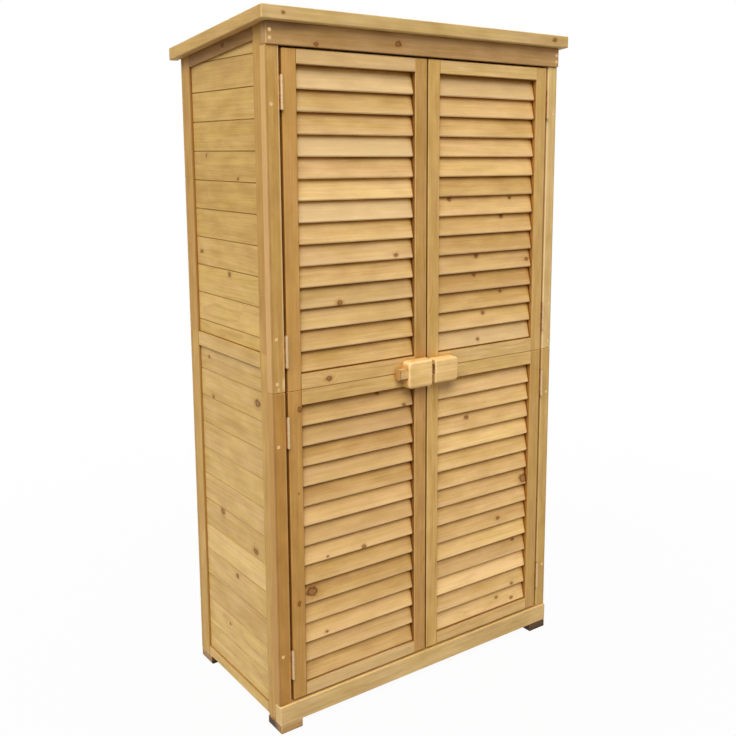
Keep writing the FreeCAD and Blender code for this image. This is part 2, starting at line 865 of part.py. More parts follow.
def make_latch():
    left_sizes = (left_block_setback, left_block_width, left_block_height)
    left_block, near, far = latch_block(LEFT, *left_sizes)
    channel = bolt_box(near + overcut, far - overcut, bolt_clearance)
    right_sizes = (right_block_setback, right_block_width, right_block_height)
    right_block, mouth, _ = latch_block(RIGHT, *right_sizes)
    tip = near - bolt_tip_setback
    socket_end = tip + bolt_travel + bolt_socket_spare
    socket = bolt_box(mouth - overcut, socket_end, bolt_clearance)
    bolt = bolt_box(tip - bolt_length, tip, 0.0)
    return {
        "left_latch_block": left_block.cut(channel),
        "right_latch_block": right_block.cut(socket),
        "latch_bolt": eased(bolt, bolt_easing, ALONG_X),
    }


def make_cabinet():
    parts = {}
    parts.update(make_roof())
    parts.update(make_front_frame())
    for side in (LEFT, RIGHT):
        parts.update(make_side(side))
    parts.update(make_back())
    parts.update(make_inside())
    parts.update(make_feet())
    for side in (LEFT, RIGHT):
        parts.update(make_door(side))
    parts.update(make_hinges())
    parts.update(make_latch())
    parts.update(make_frame_screws())
    return parts


os.makedirs("parts", exist_ok=True)
for node, shape in make_cabinet().items():
    shape.exportStep("parts/" + node + ".step")
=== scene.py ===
import math

import bpy
from mathutils import Matrix, Vector

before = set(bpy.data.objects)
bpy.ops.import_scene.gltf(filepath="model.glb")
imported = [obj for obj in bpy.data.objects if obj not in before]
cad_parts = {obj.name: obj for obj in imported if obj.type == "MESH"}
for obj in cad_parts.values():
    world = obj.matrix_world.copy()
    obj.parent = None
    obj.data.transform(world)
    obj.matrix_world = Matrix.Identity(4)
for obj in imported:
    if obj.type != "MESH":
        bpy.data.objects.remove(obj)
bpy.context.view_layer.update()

# Garden storage cabinet of glazed fir: lean roof, louvred double doors, boarded sides, wooden latch.
# The part's frame is in metres; sizes here are in millimetres, as in the part's own source.
MM = 0.001

# Sizes repeated from the part, for the patterns that follow its pieces
door_bottom = 70.0
door_split = 795.01
door_joint_rail = 35.0
door_end_rail = 31.0
front_face = -209.5
slat_recess = 5.0
slat_pitch = 46.79
slat_tilt = math.radians(13.0)
slat_thickness = 7.0
slat_clearance = 0.2
board_pitch = 67.2
first_side_seam = 112.2
first_upper_seam = 907.2
foot_height = 20.0
roof_board_depth = 89.2
roof_bar_back = -210.5
floor_front = -188.7
shelf_front = -174.2

# Depths of the pattern's cells on the floor and the shelves. Their boards follow each other every 94.5
# and 91.6 mm, so the tone changes a little beside the joints
floor_cell = 94.3
shelf_cell = 96.7

# For the places of knots and patches: y within the louvres, x of the side boards' outer face, and z and
# reach of what runs over the full height
slat_y = -199.0
side_x = -408.0
mid_height = 800.0
full_height = 3000.0

# Waves per millimetre of each noise in the wood: along the grain, across the board and into it. Then how
# many finer waves lie upon them, and how strong those are. Real fibres are 0.05 mm wide; these are 0.8 mm,
# so that they show
NOISES = {
    "ragged": ((0.11, 0.14, 0.1), 2.0, 0.5),
    "wander": ((0.0018, 0.008, 0.008), 2.0, 0.5),
    "ripple": ((0.012, 0.16, 0.16), 3.0, 0.5),
    "fibre": ((0.018, 1.2, 1.2), 3.0, 0.6),
    "streak": ((0.0055, 0.15, 0.15), 2.0, 0.5),
    "stain": ((0.013, 0.034, 0.034), 3.0, 0.5),
    "blush": ((0.007, 0.05, 0.05), 2.0, 0.5),
}
# The values between which nearly all of such a noise lies
noise_low, noise_high = 0.25, 0.75
# How far apart in the wood boards may be cut
board_spread = (900.0, 310.0, 170.0)

# Growth rings. Their pith lies behind the board, somewhere in a range, and wanders
pith_place = (0.0, -45.0, -118.0)
pith_range = (0.0, 90.0, 80.0)
pith_wander = (0.0, 34.0, 42.0)
ring_width = 3.6
ring_ripple = 2.6
ring_bulge = 9.0
late_wood = [(0.0, 0.35), (0.12, 0.04), (0.5, 0.1), (0.78, 0.6), (0.9, 1.0), (1.0, 0.35)]

# Stray knots, one at most in each cell of the wood
knot_cell = (260.0, 80.0, 80.0)
stray_radii = (1.6, 6.0)
# Factors on the way from a knot's centre: it is longer along the grain, and goes through the board
stray_shape = (0.75, 1.0, 0.05)
placed_shape = (0.72, 1.0, 0.0)
# The distance from it is multiplied by between these, and the bulge of the rings fades over four radii
raggedness = (0.75, 1.25)
bulge_falloff = 0.16

# How the wood's colour varies: factors on red, green and blue
DARKER_BOARD = (0.78, 0.72, 0.6)
PALER_BOARD = (1.22, 1.28, 1.42)
YELLOWER = (0.99, 1.0, 0.87)
COOLER = (1.01, 0.995, 1.06)
EARLY_WOOD = (1.02, 1.025, 1.03)
LATE_WOOD = (0.9, 0.86, 0.79)
# Painted shade in corners, in seams and below the louvres' lower edges, in the same factors
CORNER_SHADE_TINT = (1.0, 0.92, 0.6)
stain_depth = 0.28
streak_depth = 0.2
fibre_greys = (0.96, 1.04)

# A knot from its centre out to this many radii: brown heart, dark rim and halo, and how much of each shows
knot_reach = 2.8
knot_colours = [
    (0.0, "#7c481c"),
    (0.14, "#8f5824"),
    (0.25, "#6c3c14"),
    (0.33, "#502a0a"),
    (0.42, "#8c5822"),
    (0.6, "#b27f3a"),
]
knot_strength = [(0.0, 0.85), (0.2, 0.78), (0.33, 0.85), (0.44, 0.5), (0.66, 0.26), (1.0, 0.0)]

# How an eased edge looks: its colour, and how much of it shows. The pale ones are partly wear and partly
# painted highlight, and the seams' dark ones are partly dirt and partly painted shade
PALE_WEAR_AND_HIGHLIGHT = ("#efcf98", 0.5)
FAINT_WEAR_AND_HIGHLIGHT = ("#e2c084", 0.25)
GLAZE_LINE = ("#7c5526", 0.5)
SEAM = ("#6b4316", 0.5)
SOFT_SEAM = ("#8a6430", 0.35)

# Colours of patches: a dark brown of painted shade, a glaze brown that also draws painted shade at steps,
# and a pale one of wear that also draws painted light on the louvres
PAINTED_SHADE_BROWN = "#3c2412"
GLAZE_AND_SHADE_BROWN = "#6f4818"
PALE_WEAR_AND_LIGHT = "#f7dcac"

# A normal's largest part on one axis, from which its face counts as flat, and up to which as a chamfer
flat_lean, chamfer_lean = 0.93, 0.88
# Its part on one axis, up to which a face is turned away from it, and from which it faces it
away_lean, facing_lean = 0.8, 0.95
end_grain_share = 0.6

# Patches are whole up to the first distance and gone from the second, in reaches; some of the stain's
# noise is added to the distance, which frays them
patch_whole, patch_gone = 0.95, 1.35
patch_fray = 0.5

# Painted shade: within how many millimetres a surface closes the wood in, and how much the colour is
# darkened and browned at each share of open sky, in corners, in seams and below each louvre's lower edge
corner_reach = 16.0
closing = [(0.0, 0.1), (0.25, 0.6), (0.45, 1.0), (0.62, 0.5), (0.8, 0.1), (1.0, 0.0)]
corner_gamma = 2.2

# The glaze's surface: its gloss in the open and in corners, its roughness, and the height in millimetres
# of the relief that fibres and rings give it
open_gloss, corner_gloss = 0.25, 0.02
roughness_range = (0.48, 0.66)
relief_height = 0.35

# The axes along the grain, across a board's face and into the board
GRAIN_ORDERS = {"x": (0, 2, 1), "x flat": (0, 1, 2), "y": (1, 2, 0), "z": (2, 0, 1)}
far_knot = 50.0
seed_step = 1.37


def linear(text):
    """An sRGB hex colour as the linear RGBA that a socket takes."""
    channels = [int(text[n:n + 2], 16) / 255 for n in (1, 3, 5)]
    return [c / 12.92 if c <= 0.04045 else ((c + 0.055) / 1.055) ** 2.4 for c in channels] + [1.0]


def add(tree, kind, sockets=None, stops=None, curve=None, **settings):
    """One node with its settings, its colour stops or curve points, and a value or link on each socket.

    Sockets go by name or number. Those of MapRange are 0 for the value, 1 and 2 for the range that it
    comes from, and 3 and 4 for the one that it goes to. Those of Mix are 4 and 5 for vectors, and 6
    and 7 for colours.
    """
    node = tree.nodes.new(kind if kind.startswith("Node") else "ShaderNode" + kind)
    for name, value in settings.items():
        setattr(node, name, value)
    for number, (place, colour) in enumerate(stops or ()):
        elements = node.color_ramp.elements
        element = elements[number] if number < 2 else elements.new(place)
        element.position = place
        element.color = linear(colour)
    if curve:
        points = node.mapping.curves[0].points
        points[0].location = curve[0]
        points[1].location = curve[-1]
        for place in curve[1:-1]:
            points.new(*place)
        node.mapping.update()
    for socket, value in (sockets or {}).items():
        if isinstance(value, bpy.types.NodeSocket):
            tree.links.new(value, node.inputs[socket])
        else:
            node.inputs[socket].default_value = value
    return node


def new_material(name):
    """A material whose tree is still empty."""
    material = bpy.data.materials.new(name)
    material.use_nodes = True
    material.node_tree.nodes.clear()
    return material


def paint(material, *nodes):
    """Give the material to every slot of these pieces."""
    for node in nodes:
        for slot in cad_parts[node].material_slots:
            slot.material = material


def softwood_figure():
    """Growth rings, fibres, stain blotches and knots of fir, as one group that every wood material shares.

    Point is in millimetres, x along the grain, y across the board's face, z into the board.
    Board is a random vector that differs from board to board. Near is the distance to the nearest
    placed knot, in radii of that knot. Stray knots is the share of cells that carry a further one.
    """
    tree = bpy.data.node_groups.new("fir figure", "ShaderNodeTree")
    face = tree.interface
    inputs = {"Point": "Vector", "Board": "Vector", "Near": "Float", "Stray knots": "Float"}
    for name, kind in inputs.items():
        face.new_socket(name, in_out="INPUT", socket_type="NodeSocket" + kind)
    for name in ("Rings", "Fibre", "Stain", "Streak", "Blush", "Knot distance"):
        face.new_socket(name, in_out="OUTPUT", socket_type="NodeSocketFloat")
    point, board, near, stray = add(tree, "NodeGroupInput").outputs[:4]

    # Each board is cut from another place in the wood
    away = add(tree, "VectorMath", {0: board, 1: board_spread}, operation="MULTIPLY").outputs[0]
    own = add(tree, "VectorMath", {0: point, 1: away}, operation="ADD").outputs[0]
    noises = {}
    for name, (waves, detail, roughness) in NOISES.items():
        place = add(tree, "VectorMath", {0: own, 1: waves}, operation="MULTIPLY").outputs[0]
        sockets = {"Vector": place, "Scale": 1.0, "Detail": detail, "Roughness": roughness}
        noises[name] = add(tree, "TexNoise", sockets).outputs

    # Stray knots: each cell has one point, and in some cells it carries a knot
    cells = add(tree, "VectorMath", {0: own, 1: knot_cell}, operation="DIVIDE").outputs[0]
    seeds = add(tree, "TexVoronoi", {"Vector": cells, "Scale": 1.0, "Randomness": 0.8}).outputs
    centre = add(tree, "VectorMath", {0: seeds["Position"], 1: knot_cell}, operation="MULTIPLY").outputs[0]
    offset = add(tree, "VectorMath", {0: own, 1: centre}, operation="SUBTRACT").outputs[0]
    flat = add(tree, "VectorMath", {0: offset, 1: stray_shape}, operation="MULTIPLY").outputs[0]
    reach = add(tree, "VectorMath", {0: flat}, operation="LENGTH").outputs["Value"]
    luck = add(tree, "SeparateColor", {0: seeds["Color"]}).outputs
    size = add(tree, "MapRange", {0: luck[1], 3: stray_radii[0], 4: stray_radii[1]}).outputs[0]
    chosen = add(tree, "Math", {0: luck[0], 1: stray}, operation="LESS_THAN").outputs[0]
    held = add(tree, "Math", {0: size, 1: chosen}, operation="MULTIPLY").outputs[0]
    safe = add(tree, "Math", {0: held, 1: 0.01}, operation="MAXIMUM").outputs[0]
    radii = add(tree, "Math", {0: reach, 1: safe}, operation="DIVIDE").outputs[0]
    nearest = add(tree, "Math", {0: radii, 1: near}, operation="MINIMUM").outputs[0]

    # Knots are ragged: the distance from them grows or shrinks by up to a quarter from spot to spot
    sockets = {0: noises["ragged"][0], 1: noise_low, 2: noise_high, 3: raggedness[0], 4: raggedness[1]}
    ragged = add(tree, "MapRange", sockets).outputs[0]
    nearest = add(tree, "Math", {0: nearest, 1: ragged}, operation="MULTIPLY").outputs[0]

    # The grain flows round a knot: the rings bulge there
    falloff = add(tree, "Math", {0: nearest, 1: nearest}, operation="MULTIPLY").outputs[0]
    falloff = add(tree, "Math", {0: falloff, 1: -bulge_falloff}, operation="MULTIPLY").outputs[0]
    falloff = add(tree, "Math", {0: falloff}, operation="EXPONENT").outputs[0]

    # Growth rings about the pith, which wanders along the grain
    wander = noises["wander"]["Color"]
    wander = add(tree, "VectorMath", {0: wander, 1: (0.5, 0.5, 0.5)}, operation="SUBTRACT").outputs[0]
    wander = add(tree, "VectorMath", {0: wander, 1: pith_wander}, operation="MULTIPLY").outputs[0]
    sockets = {0: board, 1: pith_range, 2: pith_place}
    pith = add(tree, "VectorMath", sockets, operation="MULTIPLY_ADD").outputs[0]
    bowed = add(tree, "VectorMath", {0: point, 1: wander}, operation="ADD").outputs[0]
    across = add(tree, "VectorMath", {0: bowed, 1: pith}, operation="SUBTRACT").outputs[0]
    across = add(tree, "VectorMath", {0: across, 1: (0.0, 1.0, 1.0)}, operation="MULTIPLY").outputs[0]
    radius = add(tree, "VectorMath", {0: across}, operation="LENGTH").outputs["Value"]
    for wave, reach in ((falloff, ring_bulge), (noises["ripple"][0], ring_ripple)):
        radius = add(tree, "Math", {0: wave, 1: reach, 2: radius}, operation="MULTIPLY_ADD").outputs[0]
    turns = add(tree, "Math", {0: radius, 1: ring_width}, operation="DIVIDE").outputs[0]
    year = add(tree, "Math", {0: turns}, operation="FLOOR").outputs[0]
    season = add(tree, "Math", {0: turns}, operation="FRACT").outputs[0]
    late = add(tree, "FloatCurve", {1: season}, curve=late_wood).outputs[0]
    vigour = add(tree, "TexWhiteNoise", {"W": year}, noise_dimensions="1D").outputs["Value"]
    vigour = add(tree, "MapRange", {0: vigour, 3: 0.25, 4: 1.0}).outputs[0]
    rings = add(tree, "Math", {0: late, 1: vigour}, operation="MULTIPLY").outputs[0]

    fibre, stain, streak = [noises[name][0] for name in ("fibre", "stain", "streak")]
    blush = add(tree, "SeparateColor", {0: noises["blush"]["Color"]}).outputs[1]
    results = (rings, fibre, stain, streak, blush, nearest)
    add(tree, "NodeGroupOutput", dict(enumerate(results)))
    return tree


figure_group = softwood_figure()


def glazed_fir(
    name, along, mid, edge=FAINT_WEAR_AND_HIGHLIGHT, boards=None, start=(0, 0, 0), tilt=0.0, knots=(), stray=0.0,
    mixed=0.35, ends="#b08646", flanks=("#b08646", 0.0), patches=(), corner_shade=0.25, lip_light=None, odd=None,
):
    """Planed fir under a honey-coloured glaze: satin, its figure drawn softly through the colour.

    along says which way the grain runs, mid is the wood's mean colour, and edge is how eased edges
    look. boards is the size that parts the space into boards along each axis from start on, 0 where
    it isn't parted, mixed is how much they differ, and tilt turns the space about X. knots are the
    places of their centres in the part's frame, and their radii. stray is the share of places where
    a further knot may be. ends colours the end grain, and flanks is the colour and share of the
    board's narrow faces. patches are places, reaches, strengths and colours of spots: worn ones,
    ones soaked with glaze, and ones of painted shade. The argument after them is how much painted
    shade darkens corners, seams and the tops of louvres under the next one's lower edge. The next
    is, for louvres, the step from one louvre to the next, how high each is painted paler above its
    lower edge, and how much: painted light. odd is how much paler some louvres are, by their number
    from below, or darker where it is below 0.
    """
    material = new_material(name)
    tree = material.node_tree
    coordinates = add(tree, "TexCoord").outputs
    sockets = {0: coordinates["Object"], "Scale": 1 / MM}
    world = add(tree, "VectorMath", sockets, operation="SCALE").outputs[0]
    point = add(tree, "VectorMath", {0: world, 1: start}, operation="SUBTRACT").outputs[0]
    if tilt:
        sockets = {"Vector": point, "Angle": tilt}
        point = add(tree, "VectorRotate", sockets, rotation_type="X_AXIS").outputs[0]
    shares = [1 / size if size else 0.0 for size in boards or (0, 0, 0)]
    cells = add(tree, "VectorMath", {0: point, 1: shares}, operation="MULTIPLY").outputs[0]
    count = add(tree, "VectorMath", {0: cells}, operation="FLOOR").outputs[0]
    seed = sum(ord(letter) for letter in name) * seed_step
    cells = add(tree, "VectorMath", {0: count, 1: (seed, 0.0, 0.0)}, operation="ADD").outputs[0]
    board = add(tree, "TexWhiteNoise", {"Vector": cells}, noise_dimensions="3D").outputs["Color"]
    parts = add(tree, "SeparateXYZ", {0: point}).outputs
    order = GRAIN_ORDERS[along]
    grain = add(tree, "CombineXYZ", {n: parts[axis] for n, axis in enumerate(order)}).outputs[0]
    near = far_knot
    turn = Matrix.Rotation(tilt, 3, "X")
    for place, radius in knots:
        turned = turn @ (Vector(place) - Vector(start))
        centre = [turned[axis] for axis in order]
        shape = [factor / radius for factor in placed_shape]
        arm = add(tree, "VectorMath", {0: grain, 1: centre}, operation="SUBTRACT").outputs[0]
        arm = add(tree, "VectorMath", {0: arm, 1: shape}, operation="MULTIPLY").outputs[0]
        arm = add(tree, "VectorMath", {0: arm}, operation="LENGTH").outputs["Value"]
        near = add(tree, "Math", {0: near, 1: arm}, operation="MINIMUM").outputs[0]
    sockets = {"Point": grain, "Board": board, "Near": near, "Stray knots": stray}
    figure = add(tree, "Group", sockets, node_tree=figure_group)
    rings, fibre, stain, streak, blush, nearest = figure.outputs

    # Tone of the board, then streaks and blotches in how it took the glaze: darker is also browner
    luck = add(tree, "SeparateColor", {0: board}).outputs
    tone = add(tree, "MapRange", {0: luck[0], 3: 0.5 - mixed / 2, 4: 0.5 + mixed / 2}).outputs[0]
    for noise, depth in ((stain, stain_depth), (streak, streak_depth)):
        sockets = {0: noise, 1: noise_low, 2: noise_high, 3: -depth, 4: depth}
        change = add(tree, "MapRange", sockets).outputs[0]
        tone = add(tree, "Math", {0: tone, 1: change}, operation="ADD").outputs[0]
    hue = add(tree, "Math", {0: luck[1], 1: 0.2, 2: blush}, operation="MULTIPLY_ADD").outputs[0]
    hue = add(tree, "MapRange", {0: hue, 1: 0.42, 2: 0.78}).outputs[0]
    colour = linear(mid)[:3]
    variations = (
        (tone, DARKER_BOARD, PALER_BOARD),
        (hue, YELLOWER, COOLER),
        (rings, EARLY_WOOD, LATE_WOOD),
    )
    for share, low, high in variations:
        tint = add(tree, "Mix", {"Factor": share, 4: low, 5: high}, data_type="VECTOR").outputs[1]
        colour = add(tree, "VectorMath", {0: colour, 1: tint}, operation="MULTIPLY").outputs[0]
    sockets = {0: fibre, 1: 0.3, 2: 0.7, 3: fibre_greys[0], 4: fibre_greys[1]}
    grey = add(tree, "MapRange", sockets).outputs[0]
    colour = add(tree, "VectorMath", {0: colour, "Scale": grey}, operation="SCALE").outputs[0]

    # What lies over that colour, from below: how much of it shows in each place, and its own colour
    coats = []
    row = add(tree, "SeparateXYZ", {0: count}).outputs[1]
    for number, share in (odd or {}).items():
        chosen = add(tree, "Math", {0: row, 1: -number, 2: 0.5}, operation="COMPARE").outputs[0]
        chosen = add(tree, "Math", {0: chosen, 1: abs(share)}, operation="MULTIPLY").outputs[0]
        coats.append((chosen, linear(PALE_WEAR_AND_LIGHT if share > 0 else GLAZE_AND_SHADE_BROWN)))
    if lip_light:
        # Painted light: each louvre is painted paler at its lower edge, and less so higher up its face
        step, lip_light_height, lip_light_share = lip_light
        height = add(tree, "Math", {0: row, 1: step, 2: parts[2]}, operation="MULTIPLY_ADD").outputs[0]
        sockets = {0: height, 1: 0.0, 2: lip_light_height, 3: lip_light_share, 4: 0.0}
        coats.append((add(tree, "MapRange", sockets).outputs[0], linear(PALE_WEAR_AND_LIGHT)))

    # Eased edges: a chamfer's normal leans to two axes. Pale edges are partly wear and partly painted
    # highlight;
    # dark ones hold a line of glaze, and in seams they are partly dirt and partly painted shade
    normal = add(tree, "VectorMath", {0: coordinates["Normal"]}, operation="ABSOLUTE").outputs[0]
    lean = add(tree, "SeparateXYZ", {0: normal}).outputs
    most = add(tree, "Math", {0: lean[0], 1: lean[1]}, operation="MAXIMUM").outputs[0]
    most = add(tree, "Math", {0: most, 1: lean[2]}, operation="MAXIMUM").outputs[0]
    tint, share = edge
    uneven = add(tree, "MapRange", {0: stain, 1: 0.3, 2: 0.6, 3: 0.5 * share, 4: share}).outputs[0]
    sockets = {0: most, 1: flat_lean, 2: chamfer_lean, 3: 0.0, 4: uneven}
    coats.append((add(tree, "MapRange", sockets).outputs[0], linear(tint)))

    # Narrow faces have a colour of their own: on stiles and rails a dark brown, which is painted shade
    # where they face into gaps and slots. End grain drinks more glaze
    for axis, (tint, share) in ((order[1], flanks), (order[0], (ends, end_grain_share))):
        sockets = {0: lean[axis], 1: away_lean, 2: facing_lean, 3: 0.0, 4: share}
        coats.append((add(tree, "MapRange", sockets).outputs[0], linear(tint)))

    # Knots
    spread = add(tree, "Math", {0: nearest, 1: knot_reach}, operation="DIVIDE").outputs[0]
    heart = add(tree, "ValToRGB", {0: spread}, stops=knot_colours).outputs[0]
    coats.append((add(tree, "FloatCurve", {1: spread}, curve=knot_strength).outputs[0], heart))

    # Patches: pale where worn, dark where glaze has soaked in, and dark as painted shade at steps, in
    # joints, under the roof's front bar and on the feet
    for place, reach, share, tint in patches:
        arm = add(tree, "VectorMath", {0: world, 1: place}, operation="SUBTRACT").outputs[0]
        arm = add(tree, "VectorMath", {0: arm, 1: reach}, operation="DIVIDE").outputs[0]
        arm = add(tree, "VectorMath", {0: arm}, operation="LENGTH").outputs["Value"]
        arm = add(tree, "Math", {0: stain, 1: patch_fray, 2: arm}, operation="MULTIPLY_ADD").outputs[0]
        sockets = {0: arm, 1: patch_gone, 2: patch_whole, 3: 0.0, 4: share}
        coats.append((add(tree, "MapRange", sockets).outputs[0], linear(tint)))
    for share, tint in coats:
        colour = add(tree, "Mix", {"Factor": share, 6: colour, 7: tint}, data_type="RGBA").outputs[2]

    # Painted shade: in corners, in seams and below each louvre's lower edge, the colour is deepened and
    # browned by how little open sky the surface sees, and the gloss is taken down there as well
    open_sky = add(tree, "AmbientOcclusion", {"Distance": corner_reach * MM}, samples=8).outputs["AO"]
    closed = add(tree, "FloatCurve", {1: open_sky}, curve=closing).outputs[0]
    closed = add(tree, "Math", {0: closed, 1: corner_shade}, operation="MULTIPLY").outputs[0]
    deeper = add(tree, "MapRange", {0: closed, 3: 1.0, 4: corner_gamma}).outputs[0]
    colour = add(tree, "Gamma", {"Color": colour, "Gamma": deeper}).outputs[0]
    sockets = {"Factor": closed, 4: (1.0, 1.0, 1.0), 5: CORNER_SHADE_TINT}
    shade_tint = add(tree, "Mix", sockets, data_type="VECTOR").outputs[1]
    colour = add(tree, "VectorMath", {0: colour, 1: shade_tint}, operation="MULTIPLY").outputs[0]
    gloss = add(tree, "MapRange", {0: closed, 3: open_gloss, 4: corner_gloss}).outputs[0]

    relief = add(tree, "Math", {0: rings, 1: -0.5, 2: fibre}, operation="MULTIPLY_ADD").outputs[0]
    sockets = {"Height": relief, "Strength": 0.5, "Distance": relief_height * MM}
    bump = add(tree, "Bump", sockets).outputs[0]
    sockets = {0: fibre, 1: 0.2, 2: 0.8, 3: roughness_range[0], 4: roughness_range[1]}
    rough = add(tree, "MapRange", sockets).outputs[0]
    surface = {
        "Base Color": colour,
        "Roughness": rough,
        "Normal": bump,
        "IOR": 1.5,
        "Specular IOR Level": gloss,
    }
    shader = add(tree, "BsdfPrincipled", surface)
    add(tree, "OutputMaterial", {"Surface": shader.outputs[0]})
    return material


SIDES = ("left", "right")

# Cells that begin left of the cabinet or before it, so that what lies on two sides of the middle differs
LEFT_AND_RIGHT = {"boards": (1000, 0, 0), "start": (-1000, 0, 0)}
FRONT_AND_REAR = {"boards": (0, 400, 0), "start": (0, -400, 0)}

# Roof bars
bar_knots = [((-385, -229, 1586), 2.6), ((386, -229, 1588), 4.2)]
paint(glazed_fir("glazed fir roof front bar", "x", "#c8a66e", knots=bar_knots), "roof_front_bar")
side_bars = glazed_fir("glazed fir roof side bars", "y", "#c6a163", **LEFT_AND_RIGHT)
paint(side_bars, "roof_left_bar", "roof_right_bar")

# Front frame
paint(
    glazed_fir(
        "glazed fir lintel", "x", "#bb935f", ends="#a98652",
        knots=[((-300, -214, 1531), 3.6), ((-88, -214, 1546), 5.4)],
        # A painted shadow of the roof's front bar, dark along the top of the lintel's left end
        patches=[((-395, -214, 1566), (90, 12, 16), 0.35, PAINTED_SHADE_BROWN)],
    ),
    "front_lintel",
)
paint(glazed_fir("glazed fir sill", "x", "#d3b176", ends="#dabb84"), "front_bottom_rail")

# Posts: the colour of the front, and of the narrow faces. They are worn beside the doors, and glaze has
# gathered at their outer edge
post_wear = 387.5
post_glaze_line = 416.5
POST_TONES = {
    "left_post_lower": ("#b38242", "#c89a5c"),
    "left_post_upper": ("#c49a58", "#dcb078"),
    "right_post_lower": ("#c8a161", "#c8995d"),
    "right_post_upper": ("#dab87c", "#dcb078"),
}
for node, (tone, flank) in POST_TONES.items():
    sign = -1 if "left" in node else 1
    worn = 0.35 if "upper" in node else 0.1
    patches = [
        ((sign * post_wear, -211, mid_height), (3, 9, full_height), worn, PALE_WEAR_AND_LIGHT),
        ((sign * post_glaze_line, front_face, mid_height), (3, 3, full_height), 0.45, GLAZE_AND_SHADE_BROWN),
    ]
    if node == "left_post_upper":
        patches += [
            ((-390.5, -211, 814), (3, 9, 15), 0.5, PALE_WEAR_AND_LIGHT),
            ((-403, -211, 803), (3, 9, 5), 0.4, PALE_WEAR_AND_LIGHT),
        ]
    name = "glazed fir " + node.replace("_", " ")
    paint(glazed_fir(name, "z", tone, flanks=(flank, 0.5), patches=patches), node)

# Door stiles: their narrow faces are painted dark brown as shade at the meeting gap, and lighter at the
# hinges
STILE_TONES = {
    "left_door_lower_hinge_stile": "#c1924f",
    "left_door_upper_hinge_stile": "#be904d",
    "left_door_lower_meeting_stile": "#bc8e52",
    "left_door_upper_meeting_stile": "#bd9153",
    "right_door_lower_meeting_stile": "#d4ab69",
    "right_door_upper_meeting_stile": "#c89f5e",
    "right_door_lower_hinge_stile": "#bd9456",
    "right_door_upper_hinge_stile": "#c69f5e",
}
stile_knots = {
    "left_door_lower_hinge_stile": [
        ((-362, -209, 300), 4.0),
        ((-358, -209, 560), 1.6),
        ((-352, -209, 752), 4.4),
    ],
}
STILE_EDGES = {"hinge": (("#b98a48", 0.5), "#a06a2a"), "meeting": (FAINT_WEAR_AND_HIGHLIGHT, "#6f4a20")}
for node, tone in STILE_TONES.items():
    name = "glazed fir " + node.replace("_", " ")
    edge, flank = STILE_EDGES["hinge" if "hinge" in node else "meeting"]
    paint(glazed_fir(name, "z", tone, edge, knots=stile_knots.get(node, ()), flanks=(flank, 0.6)), node)

# Door rails: cells of 37 mm give each rail at the joint a tone of its own, and each end rail two. Their
# narrow faces are painted dark brown as shade
rail_cell = 37
first_rail_cell = 758
RAIL_TONES = {
    "left_door_lower_rails": "#caa366",
    "left_door_upper_rails": "#cfa769",
    "right_door_lower_rails": "#cfa86a",
    "right_door_upper_rails": "#d5b071",
}
rail_knots = {"left_door_upper_rails": [((-276, -209, 811), 4.6)]}
# The left door's end rails took less glaze than the rails at its joint
pale_rails = {
    "left_door_lower_rails": [((-190, -209, 85), (220, 40, 22), 0.2, PALE_WEAR_AND_LIGHT)],
    "left_door_upper_rails": [((-190, -209, 1503), (220, 40, 22), 0.22, PALE_WEAR_AND_LIGHT)],
}
for node, tone in RAIL_TONES.items():
    name = "glazed fir " + node.replace("_", " ")
    rails = glazed_fir(
        name, "x", tone, GLAZE_LINE, (0, 0, rail_cell), (0, 0, first_rail_cell),
        knots=rail_knots.get(node, ()), flanks=("#7c5526", 0.6), patches=pale_rails.get(node, ()),
    )
    paint(rails, node)

# Louvres: x, z and radius of each knot
slat_knots = {
    "left upper": [(-86, 1074, 3.6), (-241, 977, 4.6)],
    "left lower": [
        (-322, 314, 9.0),
        (-286, 205, 2.4),
        (-281, 389, 2.0),
        (-181, 387, 3.6),
        (-136, 752, 3.2),
        (-64, 714, 3.2),
    ],
    "right upper": [
        (76, 1199, 3.6),
        (272, 1198, 3.0),
        (245, 1152, 3.6),
        (163, 1056, 3.8),
        (331, 1038, 4.0),
        (157, 1010, 3.2),
        (245, 962, 3.2),
        (187, 911, 3.6),
        (168, 846, 3.2),
    ],
    "right lower": [
        (337, 445, 10.0),
        (246, 354, 3.8),
        (136, 648, 4.2),
        (299, 156, 3.2),
        (300, 114, 3.2),
        (248, 129, 3.0),
        (305, 279, 3.2),
    ],
}
SLAT_TONES = {
    "left upper": "#d8b074",
    "left lower": "#cfa567",
    "right upper": "#d3aa6c",
    "right lower": "#dcb375",
}
# The louvres that are paler, or darker below 0, than the pattern draws them, by number from below
odd_slats = {
    "left upper": {2: -0.2, 3: -0.3, 5: -0.18, 7: 0.34, 10: 0.36, 12: -0.16, 13: 0.27},
    "left lower": {1: -0.2, 7: -0.18, 10: -0.18, 12: -0.3},
    "right upper": {0: 0.28, 1: -0.14, 4: -0.16, 13: 0.24},
    "right lower": {0: -0.12, 1: -0.1, 3: -0.16},
}
# Painted light: how high above its lower edge each louvre is painted paler, and how much
lip_light_height = 22.0
lip_light_share = 0.18
slat_spacing = slat_pitch * math.sin(slat_tilt)
between_slats = (slat_spacing - slat_thickness) / 2
slat_front = front_face + slat_recess - between_slats
slat_step = slat_pitch * math.cos(slat_tilt)
